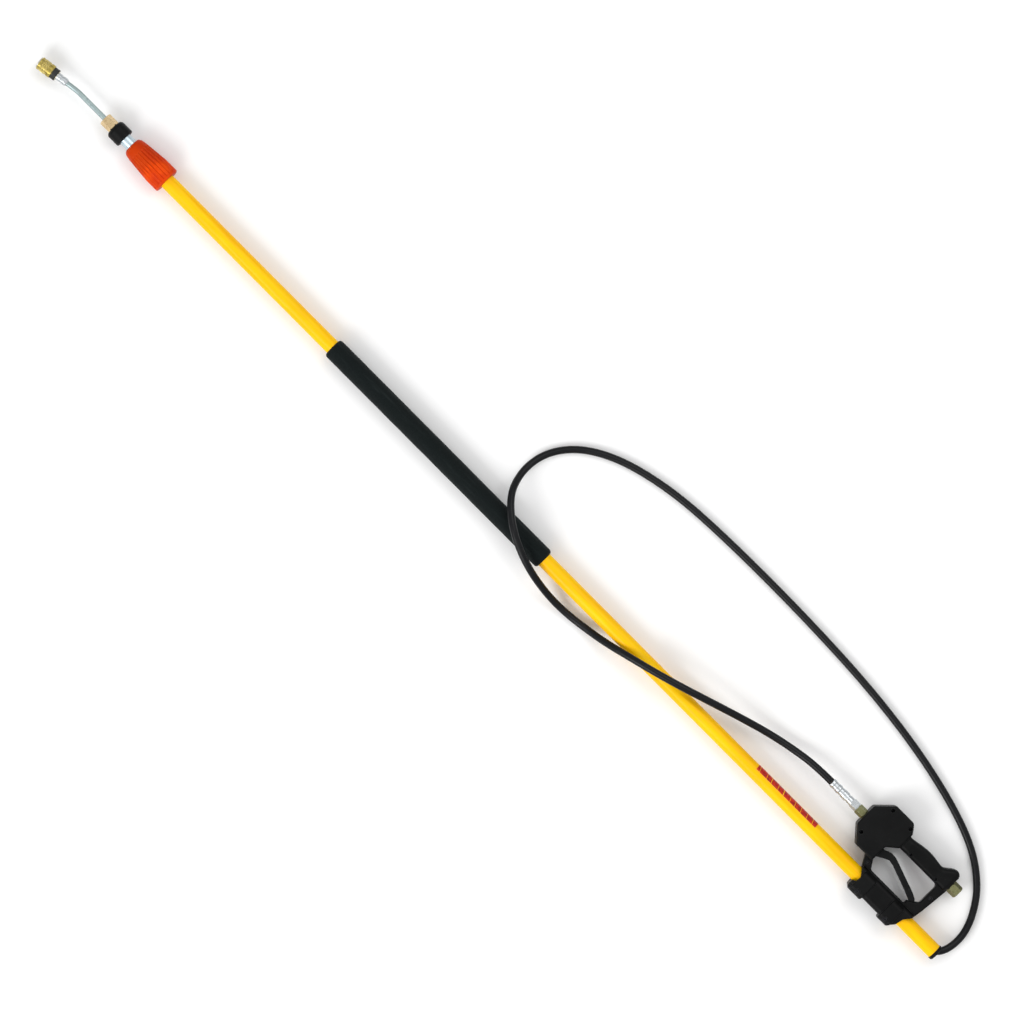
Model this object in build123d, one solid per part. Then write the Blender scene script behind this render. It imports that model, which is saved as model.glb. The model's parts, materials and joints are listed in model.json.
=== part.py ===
from build123d import *
import math
import os

# Telescoping pressure-wash wand: a pole with a twist lock, a telescoping inner tube that carries a
# lance and a quick coupler, a trigger gun clamped to the pole, and a hose looped back to the gun.
#
# Every piece is drawn in the pole's own frame, in millimetres: X along the pole, 0 at its base end
# and negative towards the tip; Y towards the gun; Z up from the pole's axis. The wand lies on its
# side. place_in_row() moves a finished piece to the row's frame, whose origin is on the surface
# under the middle of the wand. "Distance" always means the distance from the base end.

# ---------------------------------------------------------------- driving dimensions
TIP_DISTANCE = 2022  # pole's base end to coupler mouth, telescope closed
REST_HEIGHT = 23  # pole axis above the surface the wand lies on
POLE_RADIUS = 12.7
POLE_BORE = 11.0
INNER_RADIUS = 10.5
INNER_BORE = 9.0
HOSE_RADIUS = 6.0
HOSE_BORE = 3.2
RUNNING_GAP = 0.06  # radial gap of a sliding or turning fit
FREE_GAP = 0.35  # gap between pieces that must never touch

# Pole, by distance from the base end
CAP_FLANGE = 4  # thickness of the cap's flange, outside the tube's end
CAP_LIP, CAP_PLUG, CAP_RADIUS = 2, 25, 13.4
POLE_END = 1768
FOAM_START, FOAM_END, FOAM_RADIUS = 886, 1366, 18
LABEL_START, LABEL_END, LABEL_THICKNESS = 277, 411, 0.25

# Twist lock
COLLAR_START, COLLAR_END = 1741, 1821
COLLAR_RADIUS, COLLAR_NOSE_RADIUS = REST_HEIGHT, 19
COLLAR_FLUTES = 22
LOCK_BODY_START, LOCK_BODY_END, LOCK_BODY_RADIUS = 1746, 1786, 17.0
COLLET_END = 1811
COLLET_SLOTS = 4

# Telescoping tube and its tip
INNER_START, INNER_END = 75, 1852
BUSHING_LENGTH = 30
TIP_CAP_START, TIP_CAP_END, TIP_CAP_RADIUS = 1836, 1862, 16.6
BULKHEAD_END, BULKHEAD_FLATS = 1882, 19
BULKHEAD_SHANK = 6.9
INNER_FERRULE_START, INNER_FERRULE_END, INNER_FERRULE_RADIUS = 1797, 1840, 8.2
INNER_HOSE_START = 36

# Lance and coupler: the lance bends towards the side away from the gun
LANCE_RADIUS, LANCE_BORE = 4.25, 2.8
BEND_DISTANCE, BEND_ANGLE, BEND_RADIUS = 1944, 8, 60
ADAPTER_START, ADAPTER_LENGTH, ADAPTER_RADIUS = 21, 20, 6.5
COUPLER_LENGTH = 36.5
COUPLER_RADIUS, SOCKET_RADIUS, SOCKET_DEPTH = 8.6, 6.0, 17
RING_LENGTH, RING_RADIUS = 9, 9.8
SLEEVE_RADIUS, SLEEVE_LENGTH = 11.2, 25.3
BALL_COUNT, BALL_RADIUS = 6, 1.25

# Gun: (distance, y) places and half widths across the gun
GUN_TOP = 121.6
SADDLE_BOTTOM = -26.5
HEAD_HALF, HANDLE_HALF, GUARD_HALF = REST_HEIGHT, 17, 10
SADDLE_HALF = 19
WALL = 3.6
GRIP_FRONT = 77.6
INLET_Y, OUTLET_Y = 92.8, 75.2
TRIGGER_PIVOT = (196, 46)
TRIGGER_HALF, TRIGGER_SLOT = 7, 7.8
TRIGGER_PIN_RADIUS = 2.5
PUSHER_Y = 58
VALVE_DISTANCE = 186
LATCH_PIVOT = (101, 41.6)
LATCH_LENGTH, LATCH_THICKNESS, LATCH_HALF = 31, 4.6, 4.2
LATCH_PIN_RADIUS = 1.25
TRIGGER_BACK_SLOPE = 19.55  # degrees between the trigger's back and the pole
LINER_THICKNESS = 1
BOLT_PLACES = [(96, -19.6), (159, -19.6)]
SCREW_PLACES = [(222, 52), (210, 112), (169, 111), (140, 82), (84, 82), (67, 55), (178, 25)]

# Free hose, by hand: (x, y, height of its centre line above the surface). It leaves the base end,
# lies in a wide loop on the gun side, climbs over the foam, dips beside the pole, crosses the pole
# again and ends in its ferrule in line with the gun's outlet.
FERRULE_START, FERRULE_END, FERRULE_RADIUS = 264, 309, 7.6
HOSE_ROUTE = [
    (-28, -4.6, 23),
    (-2.5, -2, 23),
    (8.3, 11, 21),
    (13.9, 32, 16.5),
    (12.6, 58, 11),
    (0.5, 88.4, 8),
    (-24, 123, 6.4),
    (-71, 158.5, 6.4),
    (-143, 185.3, 6.4),
    (-243, 208, 6.4),
    (-363, 223.4, 6.4),
    (-493, 230, 6.4),
    (-623, 231.6, 6.4),
    (-733, 229.2, 6.4),
    (-803, 224.2, 6.4),
    (-863, 213.6, 6.4),
    (-913, 199, 6.4),
    (-955, 178, 6.4),
    (-985, 152.5, 6.8),
    (-1004.5, 122, 9),
    (-1011.5, 90, 16.5),
    (-1008.5, 61, 29),
    (-998, 36, 46),
    (-972, 10, 59),
    (-938, -11, 60),
    (-893, -28, 50),
    (-844, -36, 22),
    (-802, -36, 8),
    (-762, -31, 9),
    (-722, -24, 27),
    (-680, -13, 46),
    (-635, -1.5, 55),
    (-585, 13, 55),
    (-535, 29, 43),
    (-485, 44.5, 27),
    (-435, 59, 16),
    (-385, 69.5, 16),
    (-344, OUTLET_Y, 23),
    (-FERRULE_END, OUTLET_Y, 23),
]


# ---------------------------------------------------------------- drawing helpers
def bar_x(start, end, radius, y=0, z=0):
    """Round bar along the pole between two distances."""
    middle = Location((-(start + end) / 2, y, z), (0, 90, 0))
    return middle * Cylinder(radius, end - start)


def tube_x(start, end, outer, inner, y=0, z=0):
    """Round tube along the pole between two distances."""
    return bar_x(start, end, outer, y, z) - bar_x(start - 1, end + 1, inner, y, z)


def bar_y(low, high, radius, distance):
    """Round bar along Y, across the pole's axis, in the gun's middle plane."""
    middle = Location((-distance, (low + high) / 2, 0), (90, 0, 0))
    return middle * Cylinder(radius, high - low)


def tube_y(low, high, outer, inner, distance):
    """Round tube along Y in the gun's middle plane."""
    return bar_y(low, high, outer, distance) - bar_y(low - 1, high + 1, inner, distance)


def bar_z(place, low, high, radius):
    """Round bar along Z at a (distance, y) place."""
    distance, y = place
    return Location((-distance, y, (low + high) / 2)) * Cylinder(radius, high - low)


def turned(corners):
    """Body turned about the pole's axis from (distance, radius) corners."""
    outline = Polyline(*[(-distance, radius) for distance, radius in corners], close=True)
    return revolve(make_face(outline), Axis.X)


def hex_x(start, end, flats, y=0, bevel=1.2):
    """Hexagon bar along the pole with bevelled ends and two corners at +Y and -Y."""
    corner = flats / math.sqrt(3)
    section = Plane(origin=(-end, y, 0), x_dir=(0, 1, 0), z_dir=(1, 0, 0))
    prism = extrude(section * RegularPolygon(corner, 6), end - start)
    bevelled = turned(
        [
            (start, 0),
            (start, corner - bevel),
            (start + bevel, corner),
            (end - bevel, corner),
            (end, corner - bevel),
            (end, 0),
        ]
    )
    return prism & Pos(0, y, 0) * bevelled


def outline(corners):
    """Face in the gun's plane from (distance, y, corner radius) corners."""
    points = [(-distance, y) for distance, y, _ in corners]
    radii = [radius for _, _, radius in corners]
    return make_face(FilletPolyline(*points, radius=radii, close=True))


def slab(corners, half):
    """Plate with that outline, centred on the gun's middle plane."""
    return extrude(outline(corners), half, both=True)


def round_rims(body, half, radius):
    """Round the edges that lie in the body's top and bottom faces."""
    rims = body.edges().filter_by_position(Axis.Z, half - 0.01, half + 0.01)
    rims += body.edges().filter_by_position(Axis.Z, -half - 0.01, -half + 0.01)
    return fillet(rims, radius)


def block(start, end, y_low, y_high, half):
    """Box between two distances and two y values, centred on the gun's middle plane."""
    middle = Pos(-(start + end) / 2, (y_low + y_high) / 2, 0)
    return middle * Box(end - start, y_high - y_low, 2 * half)


def coil(radius, wire, pitch, height):
    """Coil spring along Z from its own origin."""
    path = Helix(pitch, height, radius)
    section = Plane(origin=path @ 0, z_dir=path % 0) * Circle(wire)
    return sweep(section, path, is_frenet=True)


def in_lance(piece):
    """Put a piece drawn about X, with 0 at the lance's bend, on the bent lance's axis."""
    return Location((-BEND_DISTANCE, 0, 0), (0, 0, BEND_ANGLE)) * piece


# ---------------------------------------------------------------- pole
def outer_tube():
    return tube_x(0, POLE_END, POLE_RADIUS, POLE_BORE)


def base_end_cap():
    """Plug with a flange whose lip covers the tube's edge; the hose's way out slants through it."""
    rounding = 1.5
    body = turned(
        [
            (-CAP_FLANGE, 0),
            (-CAP_FLANGE, CAP_RADIUS - rounding),
            (rounding - CAP_FLANGE, CAP_RADIUS),
            (CAP_LIP, CAP_RADIUS),
            (CAP_LIP, POLE_RADIUS),
            (0, POLE_RADIUS),
            (0, POLE_BORE),
            (CAP_PLUG, POLE_BORE),
            (CAP_PLUG, 0),
        ]
    )
    return body - hose_tube(HOSE_RADIUS + FREE_GAP, HOSE_ROUTE[:5])


def foam_grip():
    end_rounding = 5
    sleeve = bar_x(FOAM_START, FOAM_END, FOAM_RADIUS)
    rims = sleeve.edges().filter_by(GeomType.CIRCLE)
    return fillet(rims, end_rounding) - bar_x(FOAM_START - 1, FOAM_END + 1, POLE_RADIUS)


def label_strip():
    """Thin label wrapped over the gun side of the pole."""
    start_angle, sweep_angle = -12, 86
    corners = [
        (-LABEL_START, POLE_RADIUS),
        (-LABEL_START, POLE_RADIUS + LABEL_THICKNESS),
        (-LABEL_END, POLE_RADIUS + LABEL_THICKNESS),
        (-LABEL_END, POLE_RADIUS),
    ]
    section = make_face(Polyline(*corners, close=True))
    return Rot(start_angle, 0, 0) * revolve(section, Axis.X, sweep_angle)


# ---------------------------------------------------------------- twist lock
def lock_body():
    """Threaded sleeve bonded over the mouth of the outer tube."""
    lip_radius = INNER_RADIUS + FREE_GAP
    return turned(
        [
            (LOCK_BODY_START, POLE_RADIUS),
            (LOCK_BODY_START, LOCK_BODY_RADIUS),
            (LOCK_BODY_END, LOCK_BODY_RADIUS),
            (LOCK_BODY_END, lip_radius),
            (POLE_END, lip_radius),
            (POLE_END, POLE_RADIUS),
        ]
    )


COLLET_FLANGE = 3
COLLET_FLANGE_RADIUS = 16.4
COLLET_ROOT_RADIUS, COLLET_NOSE_RADIUS = 14.8, 12.0


def lock_collet():
    """Tapered ring, slotted from its nose, that closes on the inner tube."""
    root = LOCK_BODY_END + COLLET_FLANGE
    bore = INNER_RADIUS + RUNNING_GAP
    ring = turned(
        [
            (LOCK_BODY_END, bore),
            (LOCK_BODY_END, COLLET_FLANGE_RADIUS),
            (root, COLLET_FLANGE_RADIUS),
            (root, COLLET_ROOT_RADIUS),
            (COLLET_END, COLLET_NOSE_RADIUS),
            (COLLET_END, bore),
        ]
    )
    slot_width, slot_start, slot_end = 1.6, root + 3, COLLET_END + 2
    first_slot_angle = 45
    slot = Box(slot_end - slot_start, 2 * LOCK_BODY_RADIUS, slot_width)
    # the box starts at the axis, so each slot cuts one side of the ring
    side = Pos(-(slot_start + slot_end) / 2, LOCK_BODY_RADIUS, 0) * slot
    for index in range(COLLET_SLOTS):
        ring -= Rot(first_slot_angle + 360 * index / COLLET_SLOTS, 0, 0) * side
    return ring


def lock_collar():
    """Twist collar: plain rims, a fluted tapered grip and an inner cone that closes the collet."""
    rim = 5
    shoulder = COLLAR_START + 25
    nose = COLLAR_END - 13
    body = turned(
        [
            (COLLAR_START, COLLAR_RADIUS - 1.5),
            (COLLAR_START + 1.5, COLLAR_RADIUS),
            (shoulder, COLLAR_RADIUS),
            (nose, COLLAR_NOSE_RADIUS),
            (COLLAR_END - 5, COLLAR_NOSE_RADIUS - 1.5),
            (COLLAR_END - 1.2, COLLAR_NOSE_RADIUS - 4),
            (COLLAR_END, COLLAR_NOSE_RADIUS - 6),
            (COLLAR_END, INNER_RADIUS + FREE_GAP),
            (COLLET_END + 1, INNER_RADIUS + FREE_GAP),
            (COLLET_END + 1, COLLET_NOSE_RADIUS + 0.1),
            (LOCK_BODY_END + COLLET_FLANGE + 0.5, COLLET_ROOT_RADIUS + 0.1),
            (LOCK_BODY_END + COLLET_FLANGE + 0.5, LOCK_BODY_RADIUS + RUNNING_GAP),
            (LOCK_BODY_START - FREE_GAP, LOCK_BODY_RADIUS + RUNNING_GAP),
            (LOCK_BODY_START - FREE_GAP, POLE_RADIUS + FREE_GAP),
            (COLLAR_START, POLE_RADIUS + FREE_GAP),
        ]
    )
    flute_radius, flute_depth = 1.9, 1.1
    straight = bar_x(COLLAR_START + rim, shoulder, flute_radius, z=COLLAR_RADIUS + flute_radius - flute_depth)
    run, drop = nose - shoulder, COLLAR_RADIUS - COLLAR_NOSE_RADIUS
    tilt = math.degrees(math.atan2(drop, run))
    length = math.hypot(run, drop) - rim
    top = COLLAR_RADIUS + flute_radius - flute_depth
    tapered = (
        Location((-shoulder, 0, top), (0, -tilt, 0))
        * Location((-length / 2, 0, 0), (0, 90, 0))
        * Cylinder(flute_radius, length)
    )
    ends = [
        Pos(-COLLAR_START - rim, 0, top) * Sphere(flute_radius),
        Pos(-shoulder, 0, top) * Sphere(flute_radius),
        Location((-shoulder, 0, top), (0, -tilt, 0)) * Pos(-length, 0, 0) * Sphere(flute_radius),
    ]
    flute = straight + tapered + ends
    for index in range(COLLAR_FLUTES):
        body -= Rot(360 * index / COLLAR_FLUTES, 0, 0) * flute
    return body


# ---------------------------------------------------------------- telescoping tube
def inner_tube():
    return tube_x(INNER_START, INNER_END, INNER_RADIUS, INNER_BORE)


def slide_bushing():
    """Ring round the inner tube's rear end that guides it in the outer tube."""
    return tube_x(INNER_START, INNER_START + BUSHING_LENGTH, POLE_BORE - RUNNING_GAP, INNER_RADIUS)


def tip_cap():
    """Round cap on the telescoping tube, well rounded towards the tip."""
    front_rounding, back_rounding = 6.5, 2.5
    cap = bar_x(TIP_CAP_START, TIP_CAP_END, TIP_CAP_RADIUS)
    cap = fillet(cap.edges().filter_by(GeomType.CIRCLE).sort_by(Axis.X)[0], front_rounding)
    cap = fillet(cap.edges().filter_by(GeomType.CIRCLE).sort_by(Axis.X)[-1], back_rounding)
    cap -= bar_x(TIP_CAP_START - 1, INNER_END, INNER_RADIUS)
    return cap - bar_x(INNER_END - 1, TIP_CAP_END + 1, BULKHEAD_SHANK)


def bulkhead_fitting():
    """Hex outside the cap, a shank through it, and a socket for the lance."""
    body = hex_x(TIP_CAP_END, BULKHEAD_END, BULKHEAD_FLATS)
    body += bar_x(INNER_FERRULE_END, TIP_CAP_END, BULKHEAD_SHANK)
    body -= bar_x(INNER_FERRULE_END - 1, BULKHEAD_END + 1, LANCE_BORE)
    return body - bar_x(BULKHEAD_END - 8, BULKHEAD_END + 1, LANCE_RADIUS)


def bulkhead_nut():
    flats, thickness = 14.6, 6
    nut = hex_x(INNER_END - thickness, INNER_END, flats, bevel=0.6)
    return nut - bar_x(INNER_END - thickness - 1, INNER_END + 1, BULKHEAD_SHANK)


def inner_hose():
    return tube_x(INNER_HOSE_START, INNER_FERRULE_START, HOSE_RADIUS, HOSE_BORE)


def crimped_sleeve(start, end, radius, bore):
    """Ferrule with a groove near its fitting and two crimped waists."""
    length = end - start
    step = 0.7
    return turned(
        [
            (start, bore),
            (start, radius - step),
            (start + 0.16 * length, radius - step),
            (start + 0.16 * length, radius - 2 * step),
            (start + 0.24 * length, radius - 2 * step),
            (start + 0.24 * length, radius),
            (start + 0.44 * length, radius),
            (start + 0.48 * length, radius - step),
            (start + 0.58 * length, radius - step),
            (start + 0.62 * length, radius),
            (start + 0.72 * length, radius),
            (start + 0.76 * length, radius - step),
            (start + 0.86 * length, radius - step),
            (start + 0.90 * length, radius),
            (end - step, radius),
            (end, radius - step),
            (end, bore),
        ]
    )


def inner_hose_ferrule():
    """Crimped sleeve that joins the inner hose to the bulkhead."""
    start, end = -INNER_FERRULE_END, -INNER_FERRULE_START
    mirrored = crimped_sleeve(start, end, INNER_FERRULE_RADIUS, HOSE_BORE)
    return Rot(0, 0, 180) * mirrored


# ---------------------------------------------------------------- lance and coupler
def lance_tube():
    """Thin tube with one slight bend."""
    reach = ADAPTER_START + 7
    angle = math.radians(BEND_ANGLE)
    end = (-BEND_DISTANCE - reach * math.cos(angle), -reach * math.sin(angle), 0)
    start = (-(BULKHEAD_END - 8), 0, 0)
    path = FilletPolyline(start, (-BEND_DISTANCE, 0, 0), end, radius=BEND_RADIUS)
    section = Plane(origin=start, z_dir=(-1, 0, 0)) * (Circle(LANCE_RADIUS) - Circle(LANCE_BORE))
    return sweep(section, path)


def lance_adapter():
    """Turned adapter on the lance with a male end in the coupler."""
    start, end = ADAPTER_START, ADAPTER_START + ADAPTER_LENGTH
    male_radius, male_length = 4.8, 9
    body = turned(
        [
            (start, LANCE_BORE),
            (start, ADAPTER_RADIUS - 1.5),
            (start + 3, ADAPTER_RADIUS),
            (start + 9, ADAPTER_RADIUS),
            (start + 9.5, ADAPTER_RADIUS - 0.8),
            (start + 11.5, ADAPTER_RADIUS - 0.8),
            (start + 12, ADAPTER_RADIUS),
            (end, ADAPTER_RADIUS),
            (end, male_radius),
            (end + male_length, male_radius),
            (end + male_length, LANCE_BORE),
        ]
    )
    return in_lance(body - bar_x(start - 1, start + 7, LANCE_RADIUS))


COUPLER_START = ADAPTER_START + ADAPTER_LENGTH
COUPLER_END = COUPLER_START + COUPLER_LENGTH
SOCKET_BOTTOM = COUPLER_END - SOCKET_DEPTH
SEAL_POCKET, SEAL_POCKET_RADIUS = 1.8, 5.4
SLEEVE_END = COUPLER_END - 1.7
SLEEVE_START = SLEEVE_END - SLEEVE_LENGTH
STOP_GROOVE_RADIUS = 8.1
BALL_DISTANCE = COUPLER_END - 9.5


def ball_places():
    """Angle of each locking ball about the coupler's axis."""
    return [360 * index / BALL_COUNT for index in range(BALL_COUNT)]


def coupler_body():
    """Socket body: male-thread hole behind, plug socket in front, a hole for each ball."""
    body = turned(
        [
            (COUPLER_START, 4.8),
            (COUPLER_START, COUPLER_RADIUS),
            (SLEEVE_END, COUPLER_RADIUS),
            (SLEEVE_END, STOP_GROOVE_RADIUS),
            (SLEEVE_END + 1.2, STOP_GROOVE_RADIUS),
            (SLEEVE_END + 1.2, COUPLER_RADIUS),
            (COUPLER_END, COUPLER_RADIUS - 0.3),
            (COUPLER_END, SOCKET_RADIUS),
            (SOCKET_BOTTOM, SOCKET_RADIUS),
            (SOCKET_BOTTOM, SEAL_POCKET_RADIUS),
            (SOCKET_BOTTOM - SEAL_POCKET, SEAL_POCKET_RADIUS),
            (SOCKET_BOTTOM - SEAL_POCKET, HOSE_BORE),
            (COUPLER_START + 9, HOSE_BORE),
            (COUPLER_START + 9, 4.8),
        ]
    )
    hole_radius = BALL_RADIUS + 0.05
    for angle in ball_places():
        drill = Location((-BALL_DISTANCE, 0, COUPLER_RADIUS)) * Cylinder(hole_radius, 2 * COUPLER_RADIUS)
        radial = Rot(angle, 0, 0) * drill
        body -= radial & outside_axis()
    return in_lance(body)


def outside_axis():
    """Space round the coupler's wall only, so that a ball hole stops at the socket."""
    return tube_x(BALL_DISTANCE - 5, BALL_DISTANCE + 5, 3 * COUPLER_RADIUS, SOCKET_RADIUS - 0.5)


def coupler_ring():
    """Rubber ring behind the sleeve; the sleeve's skirt slides over it."""
    end = COUPLER_START + RING_LENGTH
    return in_lance(
        turned(
            [
                (COUPLER_START, COUPLER_RADIUS),
                (COUPLER_START, RING_RADIUS - 0.6),
                (COUPLER_START + 0.6, RING_RADIUS),
                (end, RING_RADIUS),
                (end, COUPLER_RADIUS),
            ]
        )
    )


SPRING_SHOULDER = SLEEVE_START + 12.5


def coupler_sleeve():
    """Sliding sleeve: two grooves, a fluted grip band, and a skirt over the spring."""
    skirt = RING_RADIUS + FREE_GAP
    bore = COUPLER_RADIUS + RUNNING_GAP
    band_start, band_end = SLEEVE_START + 9, SLEEVE_END - 6
    groove = 0.8
    body = turned(
        [
            (SLEEVE_START, skirt),
            (SLEEVE_START, SLEEVE_RADIUS - 0.4),
            (SLEEVE_START + 0.5, SLEEVE_RADIUS),
            (band_start - 2.5, SLEEVE_RADIUS),
            (band_start - 2, SLEEVE_RADIUS - groove),
            (band_start - 0.5, SLEEVE_RADIUS - groove),
            (band_start, SLEEVE_RADIUS),
            (band_end, SLEEVE_RADIUS),
            (band_end + 0.5, SLEEVE_RADIUS - groove),
            (band_end + 2, SLEEVE_RADIUS - groove),
            (band_end + 2.5, SLEEVE_RADIUS),
            (SLEEVE_END - 1.2, SLEEVE_RADIUS),
            (SLEEVE_END, SLEEVE_RADIUS - 1.2),
            (SLEEVE_END, bore),
            (SPRING_SHOULDER, bore),
            (SPRING_SHOULDER, skirt),
        ]
    )
    flute_radius, flutes = 0.5, 32
    flute = bar_x(band_start - 1, band_end + 1, flute_radius, z=SLEEVE_RADIUS + 0.1)
    for index in range(flutes):
        body -= Rot(360 * index / flutes, 0, 0) * flute
    return in_lance(body)


def sleeve_spring():
    """Coil under the sleeve's skirt."""
    wire, radius, height = 0.42, 9.35, 8.0
    spring = coil(radius, wire, 2.2, height)
    far_end = SPRING_SHOULDER - 0.6
    return in_lance(Location((-far_end, 0, 0), (0, 90, 0)) * spring)


def coupler_balls():
    """Locking balls, level with the socket's wall."""
    seat_radius = SOCKET_RADIUS + BALL_RADIUS + 0.05
    ball = Pos(-BALL_DISTANCE, 0, seat_radius) * Sphere(BALL_RADIUS)
    return [in_lance(Rot(angle, 0, 0) * ball) for angle in ball_places()]


def coupler_seal():
    """O-ring in its pocket at the bottom of the socket."""
    minor = SEAL_POCKET / 2 - 0.02
    middle = Location((-(SOCKET_BOTTOM - SEAL_POCKET / 2), 0, 0), (0, 90, 0))
    return in_lance(middle * Torus(SEAL_POCKET_RADIUS - 0.02 - minor, minor))


def sleeve_stop_ring():
    """Retaining ring in front of the sleeve."""
    return in_lance(tube_x(SLEEVE_END + 0.05, SLEEVE_END + 1.15, COUPLER_RADIUS + 0.9, STOP_GROOVE_RADIUS))


# ---------------------------------------------------------------- gun housing
def head_block():
    head = slab(
        [
            (236, 57.5, 6),
            (236, 96, 6),
            (210, GUN_TOP, 6),
            (171, GUN_TOP, 9),
            (160, 107, 6),
            (160, 76.4, 0),
            (177.3, 62.5, 0),
            (177.3, 32, 0),
            (213, 32, 6),
        ],
        HEAD_HALF,
    )
    return round_rims(head, HEAD_HALF, 3.5)


def handle_block():
    """Grip with a hollow back, flared at its lower end."""
    handle = slab(
        [
            (170, GRIP_FRONT, 0),
            (170, 103.5, 0),
            (154, 102.6, 30),
            (120, 108.4, 90),
            (88, 103.6, 14),
            (76, 113.5, 9),
            (67, 118.8, 9),
            (57.5, 113, 8.5),
            (57.5, GRIP_FRONT, 8.5),
        ],
        HANDLE_HALF,
    )
    return round_rims(handle, HANDLE_HALF, 8)


FINGER_OPENING = [
    (177.3, 62.5, 3),
    (158.5, GRIP_FRONT, 6),
    (74.4, GRIP_FRONT, 6),
    (74.4, 39, 4),
    (82, 32, 3),
    (91.5, 26.5, 2.5),
    (91.5, 20.3, 2),
    (166.4, 20.3, 6),
    (177.3, 37, 6),
]


def guard_ring():
    """Trigger guard: front strut, lower bar and rear bar round the finger opening."""
    outer = [
        (205, 90, 0),
        (205, 32, 0),
        (190.4, 32, 3),
        (179.5, 12.8, 3),
        (176, 6, 0),
        (76, 2, 0),
        (65, 13, 3),
        (62, 32, 30),
        (57.5, 78, 10),
        (57.5, 90, 0),
    ]
    ring = slab(outer, GUARD_HALF) - slab(FINGER_OPENING, GUARD_HALF)
    return round_rims(ring, GUARD_HALF, 2.5)


def rounded_sleeve(start, end, y_low, y_high, half, corner, end_rounding):
    """Block along the pole with rounded long corners and softened ends."""
    section = Plane(origin=(-end, (y_low + y_high) / 2, 0), x_dir=(0, 1, 0), z_dir=(1, 0, 0))
    body = extrude(section * RectangleRounded(y_high - y_low, 2 * half, corner), end - start)
    ends = body.faces().filter_by(Axis.X).edges()
    return fillet(ends, end_rounding)


def pole_saddle():
    """Sleeve round the pole, slanted at both ends, with two thick bands that take the clamp bolts."""
    body = rounded_sleeve(58, 186, -21.5, 18, SADDLE_HALF, 9, 1)
    body += rounded_sleeve(84, 107.5, SADDLE_BOTTOM, 15.5, HEAD_HALF, 11, 2.5)
    body += rounded_sleeve(146, 172, SADDLE_BOTTOM, 15.5, HEAD_HALF, 11, 2.5)
    body += rounded_sleeve(160, 178, SADDLE_BOTTOM, -11, 12, 5, 2.5)
    plan = [
        (179, 19, 0),
        (179, 12.5, 2),
        (170.5, 0, 3),
        (171.5, -9, 2),
        (177.5, -12.5, 2),
        (177.5, -21, 3),
        (171, SADDLE_BOTTOM - 0.5, 3),
        (88.5, SADDLE_BOTTOM - 0.5, 5),
        (78, -13, 6),
        (75.5, 0, 5),
        (66, 12.5, 2),
        (66, 19, 0),
    ]
    return body & slab(plan, HEAD_HALF + 1)


def gun_body():
    """The gun's outside, before it is hollowed and split."""
    body = head_block() + handle_block() + guard_ring() + pole_saddle()
    body -= slab(FINGER_OPENING, HEAD_HALF + 1)
    return body - bar_x(40, 200, POLE_RADIUS + LINER_THICKNESS)


SCREW_SHANK, SCREW_HEAD, SCREW_SEAT = 1.75, 3.3, 4
BOLT_SHANK, BOLT_HEAD, BOLT_SEAT, NUT_FLATS = 2.5, 4.3, 16, 8
VALVE_FRONT, VALVE_BACK, VALVE_LOW, VALVE_HIGH, VALVE_HALF = 230, 178, 68, 103, 13
INLET_SHANK_END, INLET_SHANK_RADIUS = 76, 8.4
OUTLET_SHANK_START, OUTLET_SHANK_RADIUS = 224, 5.8
CAVITY_HALF = HEAD_HALF - WALL


def gun_cavity():
    """Hollow of the head and the grip, and the slot the trigger swings in."""
    head = slab(
        [
            (232.4, 59, 3),
            (232.4, 94.5, 3),
            (208.5, GUN_TOP - WALL, 3),
            (173, GUN_TOP - WALL, 6),
            (163.6, 106, 3),
            (163.6, 79.5, 0),
            (180.9, 64.5, 0),
            (180.9, 35.6, 0),
            (211.5, 35.6, 3),
        ],
        CAVITY_HALF,
    )
    grip = block(INLET_SHANK_END + 2, 166, 86.3, 101, HANDLE_HALF - WALL)
    slot = slab(
        [(184, 37.4, 0), (170, 37.4, 0), (155, 60, 0), (155, GRIP_FRONT, 0), (172, GRIP_FRONT, 0), (184, 72, 0)],
        TRIGGER_SLOT,
    )
    tip_slot = block(77.5, 96, 24, 42, TRIGGER_SLOT)
    return head + grip + slot + tip_slot


def inner_supports():
    """Screw columns, pivot bosses and pads that hold the valve, all inside the head."""
    supports = block(198, 226, 72, 99, CAVITY_HALF + 1)
    supports -= block(190, 240, 60, 110, VALVE_HALF)
    for place in SCREW_PLACES[:3]:
        supports += bar_z(place, -CAVITY_HALF - 1, CAVITY_HALF + 1, 5)
    boss = bar_z(TRIGGER_PIVOT, -CAVITY_HALF - 1, CAVITY_HALF + 1, 6)
    return supports + (boss - bar_z(TRIGGER_PIVOT, -TRIGGER_SLOT, TRIGGER_SLOT, 7))


def gun_holes():
    """Everything drilled through both halves: pivot, pipe ends, screws and bolts."""
    holes = bar_z(TRIGGER_PIVOT, -17, 17, TRIGGER_PIN_RADIUS)
    holes += bar_x(VALVE_FRONT, 240, OUTLET_SHANK_RADIUS, y=OUTLET_Y)
    holes += bar_x(50, INLET_SHANK_END + 3, INLET_SHANK_RADIUS, y=INLET_Y)
    for place in SCREW_PLACES:
        holes += bar_z(place, -9, SCREW_SEAT, SCREW_SHANK)
        holes += bar_z(place, SCREW_SEAT, HEAD_HALF + 1, SCREW_HEAD + 0.2)
    for place in BOLT_PLACES:
        holes += bar_z(place, -HEAD_HALF - 1, HEAD_HALF + 1, BOLT_SHANK)
        holes += bar_z(place, BOLT_SEAT, HEAD_HALF + 1, BOLT_HEAD + 0.4)
        holes += nut_shape(place, -HEAD_HALF - 1, -BOLT_SEAT, NUT_FLATS + 0.4)
    return holes


def nut_shape(place, low, high, flats):
    """Hexagon bar along Z at a (distance, y) place."""
    distance, y = place
    return Pos(-distance, y, low) * extrude(RegularPolygon(flats / math.sqrt(3), 6), high - low)


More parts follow.
